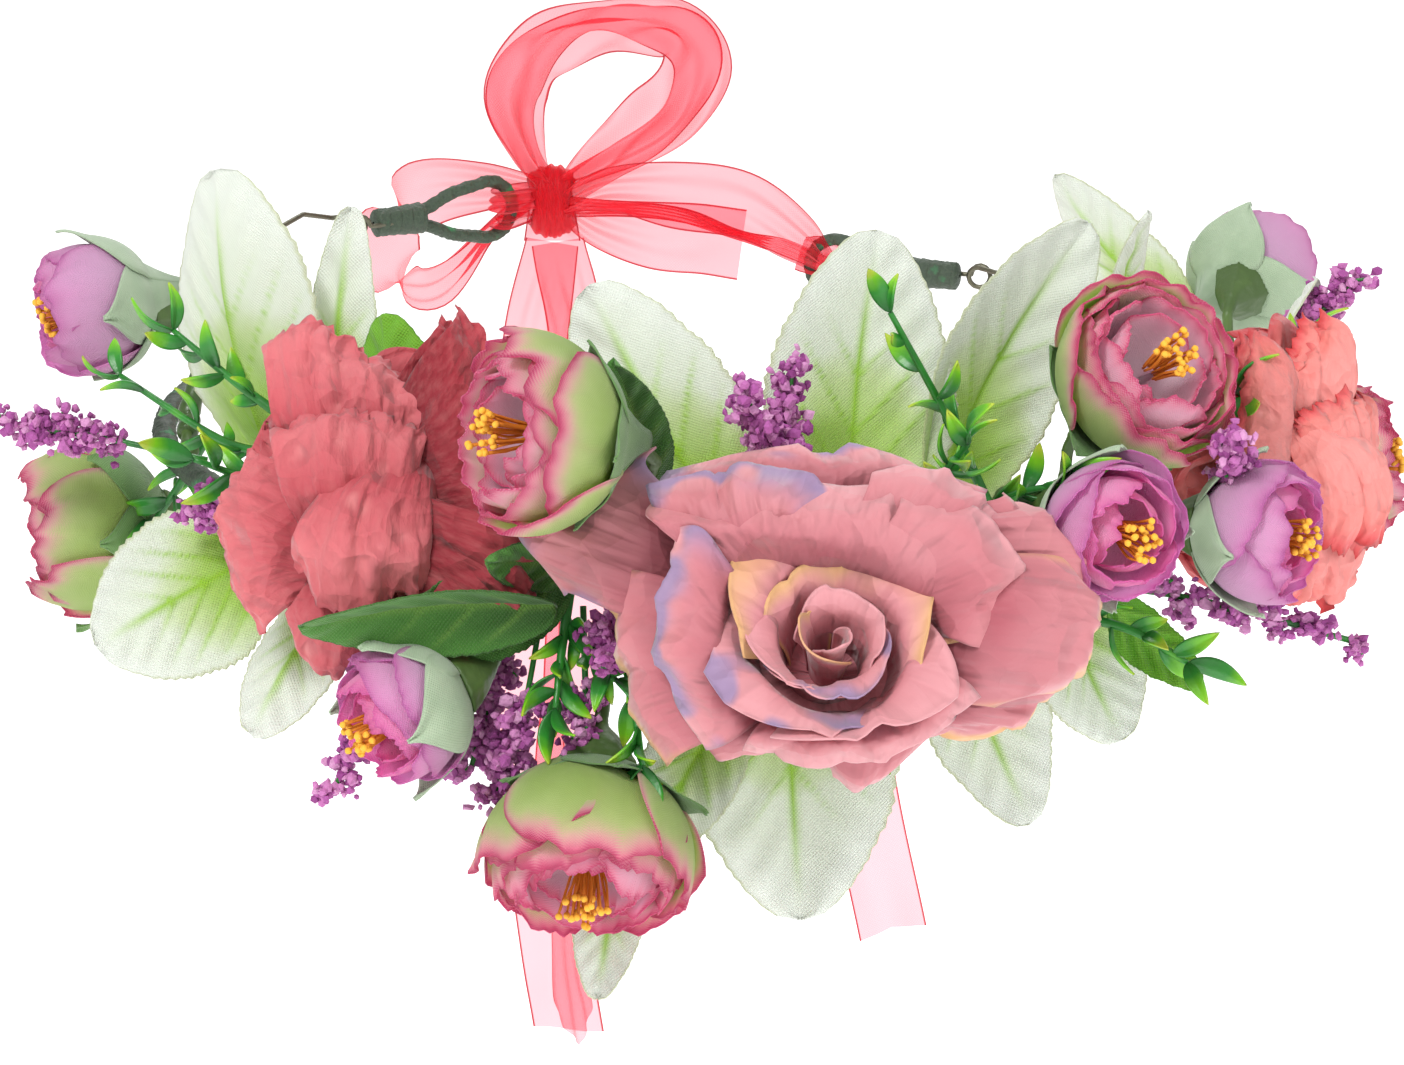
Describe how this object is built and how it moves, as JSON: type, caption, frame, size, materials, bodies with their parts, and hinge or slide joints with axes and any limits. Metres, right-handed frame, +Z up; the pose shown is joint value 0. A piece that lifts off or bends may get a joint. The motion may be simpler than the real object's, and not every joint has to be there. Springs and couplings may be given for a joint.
{
  "type": "flower crown",
  "caption": "Head wreath: taped wire band with fabric rose, coral flowers, ranunculus, buds, leaves and heather, open at the back and tied with an organza ribbon bow with hanging tails.",
  "frame": {"origin": "centre of the head opening, on the plane of the band (mount head_seat)", "axes": "+Z up, -Y the front with the rose, +Y the open back with the ribbon, +X to the right in the picture"},
  "size_m": [0.2309, 0.2507, 0.2005],
  "materials": {
    "floral_tape": "dark green waxed crepe floral tape",
    "bare_wire": "bare annealed wire, grey olive",
    "red_organza": "sheer red organza with woven edges",
    "rose_satin": "dusty pink satin-like petal cloth",
    "coral_crepe": "crinkled coral petal cloth",
    "ranunculus_polyester": "woven polyester, lime with pink edges",
    "lilac_polyester": "woven polyester, lilac pink",
    "calyx_green": "grey green fabric sepals and moulded stem",
    "pale_leaf": "white to lime printed woven leaf",
    "green_leaf": "green printed woven leaf",
    "heather_foam": "purple foam crumbs on a thin stalk",
    "sprig_plastic": "glossy moulded green plastic"
  },
  "bodies": {
    "crown": {"band_core_wire": "bare_wire", "band_tape": "floral_tape", "bow_lobe_left": "red_organza", "bow_loop_upper": "red_organza", "bow_wing_right": "red_organza", "bud_far_right_bloom": "lilac_polyester", "bud_far_right_calyx_stem": "calyx_green", "bud_left_bloom": "lilac_polyester", "bud_left_calyx_stem": "calyx_green", "bud_lower_left_bloom": "lilac_polyester", "bud_lower_left_calyx_stem": "calyx_green", "bud_right_front_bloom": "lilac_polyester", "bud_right_front_calyx_stem": "calyx_green", "bud_right_side_bloom": "lilac_polyester", "bud_right_side_calyx_stem": "calyx_green", "coral_left_calyx_stem": "calyx_green", "coral_left_petals": "coral_crepe", "coral_right_calyx_stem": "calyx_green", "coral_right_petals": "coral_crepe", "eye_left": "floral_tape", "eye_right": "floral_tape", "ferrule_left": "floral_tape", "ferrule_right": "floral_tape", "heather_centre": "heather_foam", "heather_left": "heather_foam", "heather_lower_left": "heather_foam", "heather_lower_right": "heather_foam", "heather_upper_right": "heather_foam", "leaf_bottom_mid": "pale_leaf", "leaf_bottom_right": "pale_leaf", "leaf_bright": "green_leaf", "leaf_crown_left": "pale_leaf", "leaf_crown_mid": "pale_leaf", "leaf_crown_right": "pale_leaf", "leaf_dark_folded": "green_leaf", "leaf_left_drop": "pale_leaf", "leaf_left_folded": "pale_leaf", "leaf_left_low": "pale_leaf", "leaf_left_tall": "pale_leaf", "leaf_right_back": "pale_leaf", "leaf_right_curled": "pale_leaf", "plastic_sprig_centre": "sprig_plastic", "ranunculus_bottom_bloom": "ranunculus_polyester", "ranunculus_bottom_calyx_stem": "calyx_green", "ranunculus_far_right_bloom": "ranunculus_polyester", "ranunculus_far_right_calyx_stem": "calyx_green", "ranunculus_left_bloom": "ranunculus_polyester", "ranunculus_left_calyx_stem": "calyx_green", "ranunculus_right_bloom": "ranunculus_polyester", "ranunculus_right_calyx_stem": "calyx_green", "ranunculus_upper_bloom": "ranunculus_polyester", "ranunculus_upper_calyx_stem": "calyx_green", "ribbon_hitch": "red_organza", "ribbon_knot": "red_organza", "rose_calyx_stem": "calyx_green", "rose_heart": "rose_satin", "rose_outer_petals": "rose_satin"},
    "left_tails": {"tail_left_front": "red_organza", "tail_left_back": "red_organza"},
    "right_tail": {"tail_right": "red_organza"}
  },
  "joints": [
    {"name": "left_tails_swing", "type": "hinge", "parent": "crown", "child": "left_tails", "pos_m": [-0.02905, 0.08769, 0.01105], "axis": [1, 0, 0], "range_deg": [-60, 60]},
    {"name": "right_tail_swing", "type": "hinge", "parent": "crown", "child": "right_tail", "pos_m": [0.02315, 0.09303, -0.0026], "axis": [1, 0, 0], "range_deg": [-60, 60]}
  ]
}
